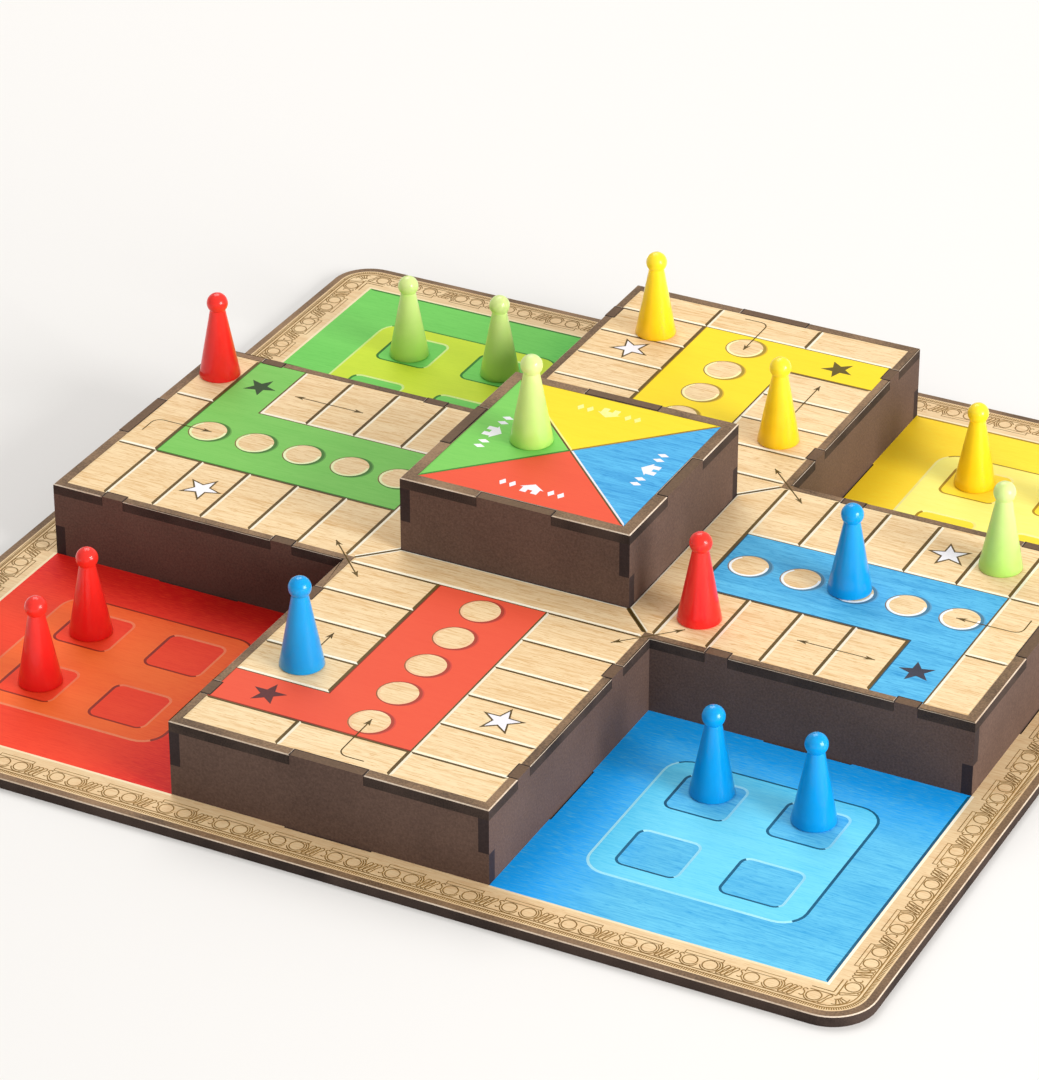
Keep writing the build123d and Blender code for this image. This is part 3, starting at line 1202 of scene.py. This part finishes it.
stars = []
for colour, turn in arms.items():
    start_place = on_arm(colour, half_arm + start_row * row_pitch, -side_column)
    safe_place = on_arm(colour, half_arm + safe_row * row_pitch, side_column)
    layers = (
        (dark_star, start_place, path_level + ink_rise, star_inks[colour]),
        (white_star, safe_place, deck_top + ink_rise, line_ink),
        (white_star - 2 * star_outline, safe_place, deck_top + 2 * ink_rise, white_ink),
    )
    for radius, place, top, finish in layers:
        star = ink_shape("star", star_points(radius), floor_level, top, finish)
        star.data.transform(Matrix.Translation((*place, 0)) @ Matrix.Rotation(turn + pi, 4, "Z"))
        stars.append(star)
deck_stars = join_pieces("deck_stars", stars)
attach(deck_stars, "deck")


# Arrows: thin brown lines that show which way to go. A bent one leads into each coloured path, a
# straight one lies along the start side, and a slanted one crosses each inner corner.
arrow_line = 0.4 * mm
head_length = 3.0 * mm
head_width = 1.9 * mm
head_notch = 0.8 * mm  # how far the back of a head is hollowed
turn_radius = 2.6 * mm
bend_inset = 0.38  # of a row, from the end of the arm
# places of the ends, each outwards along an arm and across it
bend_start = (reach - bend_inset * row_pitch, 7.6 * mm)
bend_tip = (112.6 * mm, 0)
straight_ends = ((80.0 * mm, -29.0 * mm), (102.0 * mm, -29.0 * mm))
slanted_ends = ((51.9 * mm, 37.4 * mm), (37.4 * mm, 51.9 * mm))

head_outline = [
    (0, 0),
    (-head_length, head_width / 2),
    (-head_length + head_notch, 0),
    (-head_length, -head_width / 2),
]


def arrow(points, both_ends):
    """A line through points with a head on its last point, or on both ends."""
    shaft = ink_lines("shaft", [stroke(points)], arrow_line, deck_top, relief)
    shaft.data.materials.append(line_ink)
    parts = [shaft]
    ends = [(points[-1], points[-2])] + ([(points[0], points[1])] if both_ends else [])
    for tip, before in ends:
        heading = atan2(tip[1] - before[1], tip[0] - before[0])
        head = ink_shape("head", head_outline, floor_level, deck_top + ink_rise, line_ink)
        head.data.transform(Matrix.Translation((*tip, 0)) @ Matrix.Rotation(heading, 4, "Z"))
        parts.append(head)
    return parts


bend_centre = (bend_start[0] - turn_radius, turn_radius)
bend = [bend_start, *arc(bend_centre, turn_radius, 0, -90, steps=4), bend_tip]
arrows = []
for colour in arms:
    for points, both_ends in ((bend, False), (straight_ends, True), (slanted_ends, True)):
        arrows += arrow([on_arm(colour, *point) for point in points], both_ends)
deck_arrows = join_pieces("deck_arrows", arrows)
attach(deck_arrows, "deck")


# Creases and kerfs: a dark line in each inner corner of the deck, from the home box out to the
# rim, a painted shade line round the foot of that box, and the scorched outline that the laser
# left round each tab.
crease_line = 0.75 * mm
foot_shade_line = 0.6 * mm
home_foot = 34.05 * mm  # from the middle of the board to that line
crease_ends = (home_foot, half_arm - rim_side)
kerf_line = 0.45 * mm
sheet_thickness = board_top - board_low.z
side_tab = 6.5 * mm
side_tab_places = (64.5 * mm, 117.5 * mm)  # along an arm, from the middle of the board
end_tab = 21.0 * mm


def kerf(place, width, edge):
    """The line round a tab: in from the edge, along the back of the tab, and out again."""
    near, far = place - width / 2, place + width / 2
    back = edge - sheet_thickness
    return [(near, edge), (near, back), (far, back), (far, edge)]


creases = [stroke([(way_x * end, way_y * end) for end in crease_ends]) for way_x, way_y in yards.values()]
deck_creases = ink_lines("deck_creases", creases, crease_line, deck_top, relief)
deck_creases.data.materials.append(line_ink)
# painted shade: a dark line round the foot of the home box, where the box shades the deck
foot_corners = [(way_x * home_foot, way_y * home_foot) for way_x, way_y in yards.values()]
foot_shade_stroke = stroke(foot_corners, closed=True)
home_shadow = ink_lines("home_shadow", [foot_shade_stroke], foot_shade_line, deck_top, relief)
home_shadow.data.materials.append(scorched_edge_and_foot_shade)
kerfs = []
for colour in arms:
    kerfs.append(stroke([on_arm(colour, up, across) for across, up in kerf(0, end_tab, reach)]))
    for place in side_tab_places:
        for way in (-1, 1):
            outline = [on_arm(colour, along, way * up) for along, up in kerf(place, side_tab, half_arm)]
            kerfs.append(stroke(outline))
deck_kerfs = ink_lines("deck_kerfs", kerfs, kerf_line, deck_top, relief)
deck_kerfs.data.materials.append(scorched_edge_and_foot_shade)
deck_marks = join_pieces("deck_marks", [deck_creases, home_shadow, deck_kerfs])
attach(deck_marks, "deck")


# Home panel: the top of the middle box, a coloured triangle towards each arm inside a brown rim.
# The edges along the diagonals are pale, dark or plain, by the way they slope.
home_low, home_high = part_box("home_top")
half_home = home_high.x
home_top = home_high.z
home_rim = 3.5 * mm
home_slope = 0.5 * mm
diagonal_reach = 2 * (groove + home_slope)  # slopes within this of a diagonal have a line
level_lean = 0.001  # a level face leans less than this

# Home inks: flat coats like those of the paths, the blue one again with bold grain.
home_inks = {
    "red": grained_print("red_home_print", "#f05b3c", "#e64b32", 0.3),
    "blue": grained_print("blue_home_print", "#5cbeee", "#288ece", 0.95),
    "yellow": grained_print("yellow_home_print", "#ffe02a", "#f8d010", 0.4),
    "green": grained_print("green_home_print", "#84d060", "#68c050", 0.4),
}

bpy.ops.object.select_all(action="DESELECT")
bpy.ops.mesh.primitive_plane_add(size=2 * (half_home + trim), location=(0, 0, home_low.z))
home = bpy.context.object
home.name = "printed_home_panel"
bpy.ops.object.transform_apply(location=True, rotation=True, scale=True)
bpy.ops.object.mode_set(mode="EDIT")
rim_line = half_home - home_rim
score((-rim_line, rim_line))
home_floor = home_top - relief
pick_faces(home, lambda face: max(map(abs, middle(face))) < rim_line)
bpy.ops.mesh.poke()
bpy.ops.mesh.select_all(action="SELECT")
raise_faces(home_floor - home_low.z)
bpy.ops.mesh.select_all(action="SELECT")
bpy.ops.mesh.normals_make_consistent(inside=False)


def home_face(face, on_rim):
    """Whether a face is on the home panel's upper side, and on its rim or not, as asked."""
    upper = face.normal.z > top_normal and face.verts[0].co.z > home_floor - tiny
    return upper and on_rim == (max(map(abs, middle(face))) > rim_line)


pick_faces(home, lambda face: home_face(face, False))
bpy.ops.mesh.inset(thickness=groove / 2, use_individual=True)
bpy.ops.mesh.inset(thickness=home_slope, depth=relief, use_individual=True)
pick_faces(home, lambda face: home_face(face, True))
raise_faces(relief)
bpy.ops.object.mode_set(mode="OBJECT")
cut_to_outline(home, "home_top")
wear_arris(home, home_top, arris)


def home_finish(face):
    """What a face of the home panel shows: only its slopes along the diagonals have a line."""
    x, y, z = face.center
    if unprinted(face):
        return unprinted(face)
    if max(abs(x), abs(y)) > rim_line:
        return band_print if face.normal.z > top_normal else worn_and_highlit_arris
    colour = arm_place(x, y)[0]
    raised = face.normal.z > level_normal and z > home_top - hair
    if raised or abs(abs(x) - abs(y)) > diagonal_reach:
        return home_inks[colour]
    if x * y > 0:
        return yard_shade[colour] if face.normal.x - face.normal.y > -level_lean else home_inks[colour]
    if face.normal.x + face.normal.y > -level_lean:
        return shade_line
    return white_ink if colour == "blue" else yard_lit[colour]


paint_faces(
    home,
    [*home_inks.values(), *yard_shade.values(), yard_lit["yellow"], white_ink, shade_line]
    + [band_print, worn_and_highlit_arris, scorched_edge_and_foot_shade, bare_fibreboard],
    home_finish,
)
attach(home, "home")
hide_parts("home_top")


# Home signs: on each triangle a small house with two lozenges on either side, in white ink, and on
# the yellow triangle in a paler yellow.
sign_out = 23.4 * mm  # from the middle of the home box
house_width = 5.0 * mm
house_wall = 2.5 * mm
house_roof = 2.4 * mm
roof_eave = 0.9 * mm
door_width = 1.4 * mm
door_height = 1.6 * mm
lozenge_length = 3.4 * mm
lozenge_width = 2.0 * mm
lozenge_places = (5.7 * mm, 8.6 * mm)

house_outline = [
    (door_width / 2, 0),
    (house_width / 2, 0),
    (house_width / 2, house_wall),
    (house_width / 2 + roof_eave, house_wall),
    (0, house_wall + house_roof),
    (-house_width / 2 - roof_eave, house_wall),
    (-house_width / 2, house_wall),
    (-house_width / 2, 0),
    (-door_width / 2, 0),
    (-door_width / 2, door_height),
    (door_width / 2, door_height),
]
lozenge_outline = [
    (lozenge_width / 2, 0),
    (0, lozenge_length / 2),
    (-lozenge_width / 2, 0),
    (0, -lozenge_length / 2),
]
outlines = [[(x, y - (house_wall + house_roof) / 2) for x, y in house_outline]]
for place in lozenge_places:
    outlines += [[(way * place + x, y) for x, y in lozenge_outline] for way in (-1, 1)]
signs = []
for colour, turn in arms.items():
    ink = yard_lit["yellow"] if colour == "yellow" else white_ink
    out_there = Matrix.Translation((*on_arm(colour, sign_out, 0), 0))
    for outline in outlines:
        mark = ink_shape("mark", outline, home_top - ink_sunk, home_top + ink_rise, ink)
        mark.data.transform(out_there @ Matrix.Rotation(turn + pi / 2, 4, "Z"))
        signs.append(mark)
home_signs = join_pieces("home_signs", signs)
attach(home_signs, "home")


# Home kerfs: the scorched outline that the laser left round each of the four tabs in the home
# panel, one to a side.
home_tab = 22.0 * mm

home_strokes = [
    stroke([on_arm(colour, up, across) for across, up in kerf(0, home_tab, half_home)])
    for colour in arms
]
home_kerfs = ink_lines("home_kerfs", home_strokes, kerf_line, home_top, ink_sunk)
home_kerfs.data.materials.append(scorched_edge_and_foot_shade)
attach(home_kerfs, "home")


# Pawns: four of each colour, moulded in one piece from a translucent polystyrene, glossy and
# hollow from below. One is modelled, and copied to the place of each packed pawn.
pawn_box_low, pawn_box_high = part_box("red_pawn_1")
pawn_height = pawn_box_high.z - pawn_box_low.z
foot_radius = (pawn_box_high.x - pawn_box_low.x) / 2
foot_round = 0.5 * mm
skirt_radius = 5.5 * mm
skirt_height = 3.0 * mm
neck_radius = 2.2 * mm
head_radius = 3.05 * mm
pawn_skin = 1.6 * mm
core_depth = 12.0 * mm  # how far the hollow goes up
pawns_each = 4
pawn_sides = 48
foot_steps = 4
head_steps = 16
smooth_angle = radians(25)  # faces that meet at less than this shade as one
flow_length = 9 * mm  # of the faint streaks that the melt leaves
light_reach = 5 * mm  # of the light that passes through the skin


def moulded_plastic(name, foot, head, glow, travel=(1.0, 0.2, 0.1)):
    """A translucent moulding with a gloss, from its colour at the foot to its colour at the head.

    The head is painted paler, as painted light for the light that passes through the thin upper
    part. glow is how much light passes through the skin, and travel is how far its red, green and
    blue go.
    """
    finish, surface = new_finish(
        name,
        0.28,
        IOR=1.59,
        Specular_IOR_Level=0.15,
        Subsurface_Weight=glow,
        Subsurface_Radius=travel,
        Subsurface_Scale=light_reach,
        Coat_Weight=0.4,
        Coat_Roughness=0.04,
    )
    surface.subsurface_method = "BURLEY"
    place = add_node(finish, "TexCoord", {}).outputs["Object"]
    streaks = add_node(
        finish, "TexNoise", {"Vector": place, "Scale": 1 / flow_length, "Detail": 4.0, "Distortion": 0.8}
    )
    uneven = add_node(
        finish, "MapRange", {"Value": streaks.outputs["Fac"], "To Min": -0.25, "To Max": 0.25}
    )
    # painted light: the colour grows paler towards the head, for light passing through it
    height = add_node(finish, "Attribute", {}, attribute_name="height")
    tone = add_node(
        finish,
        "Math",
        {0: height.outputs["Fac"], 1: uneven.outputs["Result"]},
        operation="ADD",
        use_clamp=True,
    )
    colour = add_node(
        finish,
        "MixRGB",
        {"Fac": tone.outputs["Value"], "Color1": linear(foot), "Color2": linear(head)},
    )
    finish.node_tree.links.new(colour.outputs["Color"], surface.inputs["Base Color"])
    bump = add_node(
        finish, "Bump", {"Height": streaks.outputs["Fac"], "Strength": 0.08, "Distance": 0.3 * mm}
    )
    finish.node_tree.links.new(bump.outputs["Normal"], surface.inputs["Normal"])
    return finish


# Polystyrene from a polished mould: a clear gloss over an even colour. The yellow and the green are
# milky, and light spreads far inside them.
pawn_finishes = {
    "red": moulded_plastic("red_polystyrene", "#ea1e1c", "#f63227", 0.1),
    "blue": moulded_plastic("blue_polystyrene", "#008fd2", "#009ce2", 0.2, (0.1, 0.5, 1.0)),
    "yellow": moulded_plastic("yellow_polystyrene", "#ffc814", "#ffe230", 0.9, (1.0, 0.8, 0.3)),
    "green": moulded_plastic("milky_green_polystyrene", "#aadb62", "#d8e793", 0.9, (0.8, 1.0, 0.5)),
}

head_middle = pawn_height - head_radius
neck_level = head_middle - sqrt(head_radius**2 - neck_radius**2)
neck_angle = atan2(neck_level - head_middle, neck_radius)
taper = (skirt_radius - neck_radius) / (neck_level - skirt_height)
core_end = skirt_radius - taper * (core_depth - skirt_height) - pawn_skin
profile = [(0, core_depth), (core_end, core_depth), (foot_radius - pawn_skin, 0)]
for step in range(foot_steps + 1):
    angle = pi / 2 * step / foot_steps
    reach_out = foot_radius - foot_round + foot_round * sin(angle)
    profile.append((reach_out, foot_round - foot_round * cos(angle)))
profile += [(skirt_radius, skirt_height), (neck_radius, neck_level)]
for step in range(1, head_steps + 1):
    angle = neck_angle + (pi / 2 - neck_angle) * step / head_steps
    profile.append((head_radius * cos(angle), head_middle + head_radius * sin(angle)))

bpy.ops.object.select_all(action="DESELECT")
bpy.ops.mesh.primitive_circle_add(vertices=len(profile), radius=foot_radius)
pawn = bpy.context.object
pawn.name = "pawn"
bpy.ops.object.mode_set(mode="EDIT")
pick_edges(pawn, lambda edge: {0, len(profile) - 1} == {end.index for end in edge.verts})
bpy.ops.mesh.delete(type="EDGE_FACE")
form = bmesh.from_edit_mesh(pawn.data)
form.verts.ensure_lookup_table()
for corner, (out, up) in zip(form.verts, profile):
    corner.co = (out, 0, up)
bmesh.update_edit_mesh(pawn.data)
bpy.ops.mesh.select_all(action="SELECT")
bpy.ops.mesh.spin(steps=pawn_sides, angle=2 * pi, center=(0, 0, 0), axis=(0, 0, 1))
bpy.ops.mesh.select_all(action="SELECT")
bpy.ops.mesh.remove_doubles(threshold=tiny)
bpy.ops.mesh.normals_make_consistent(inside=False)
bpy.ops.object.mode_set(mode="OBJECT")
bpy.ops.object.shade_smooth_by_angle(angle=smooth_angle)
height = pawn.data.attributes.new("height", "FLOAT", "POINT")
for share, corner in zip(height.data, pawn.data.vertices):
    share.value = corner.co.z / pawn_height
for colour, finish in pawn_finishes.items():
    for number in range(1, pawns_each + 1):
        node = f"{colour}_pawn_{number}"
        low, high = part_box(node)
        place = ((low.x + high.x) / 2, (low.y + high.y) / 2, low.z)
        moulded = copy_of(pawn, f"{colour}_moulded_pawn_{number}", place)
        moulded.data.materials.append(finish)
        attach(moulded, node)
        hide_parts(node)
bpy.data.objects.remove(pawn)


# Die: an ivory-coloured cube with rounded edges, kept under the home box. Its pips are shallow
# cups, painted black.
die_low, die_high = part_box("die")
die_middle = (die_low + die_high) / 2
die_side = die_high.x - die_low.x
die_round = 1.4 * mm
pip_radius = 1.15 * mm
pip_depth = 0.4 * mm
pip_pitch = 3.2 * mm
pip_ball = (pip_radius**2 + pip_depth**2) / (2 * pip_depth)  # radius of the ball that cuts a cup

# Urea moulding: ivory, a little cloudy, with a polished skin.
ivory = moulded_plastic("ivory_urea", "#f1e8d4", "#fbf5e6", 0.1)
# Pip paint: black enamel, pooled in the cups, so glossier at its middle than paint on a flat.
pip_paint = speckled("black_pip_enamel", "#2a2624", "#151312", fine_speck, 0.35)

pip_layouts = {
    1: [(0, 0)],
    2: [(-1, -1), (1, 1)],
    3: [(-1, -1), (0, 0), (1, 1)],
    4: [(-1, -1), (-1, 1), (1, -1), (1, 1)],
    5: [(-1, -1), (-1, 1), (0, 0), (1, -1), (1, 1)],
    6: [(-1, -1), (-1, 0), (-1, 1), (1, -1), (1, 0), (1, 1)],
}
die_sides = {1: (0, 0, 1), 6: (0, 0, -1), 2: (0, -1, 0), 5: (0, 1, 0), 3: (1, 0, 0), 4: (-1, 0, 0)}

bpy.ops.object.select_all(action="DESELECT")
bpy.ops.mesh.primitive_cube_add(size=die_side, location=die_middle)
die = bpy.context.object
die.name = "ivory_die"
bpy.ops.object.transform_apply(location=True, rotation=True, scale=True)
bpy.ops.object.mode_set(mode="EDIT")
bpy.ops.mesh.select_all(action="SELECT")
bpy.ops.mesh.bevel(offset=die_round, segments=6, affect="EDGES")
bpy.ops.object.mode_set(mode="OBJECT")
cups = []
for pips, outward in die_sides.items():
    side_place = Vector(outward) * (die_side / 2 + pip_ball - pip_depth)
    upright = Vector(outward).to_track_quat("Z", "Y")
    for across, along in pip_layouts[pips]:
        spread = upright @ Vector((across * pip_pitch, along * pip_pitch, 0))
        bpy.ops.mesh.primitive_uv_sphere_add(
            segments=24, ring_count=16, radius=pip_ball, location=die_middle + side_place + spread
        )
        cups.append(bpy.context.object)
cup_cutter = join_pieces("cups", cups)
bpy.ops.object.transform_apply(location=True, rotation=True, scale=True)
cut(die, cup_cutter, "DIFFERENCE")


def die_finish(face):
    """Black in the cups, which lie below a flat side and clear of the rounded edges."""
    depths = sorted(abs(part) for part in face.center - die_middle)
    in_cup = depths[2] < die_side / 2 - hair and depths[1] < pip_pitch + pip_radius
    return pip_paint if in_cup else ivory


paint_faces(die, [ivory, pip_paint], die_finish)
take(die)
bpy.ops.object.shade_smooth_by_angle(angle=smooth_angle)
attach(die, "die")
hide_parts("die")
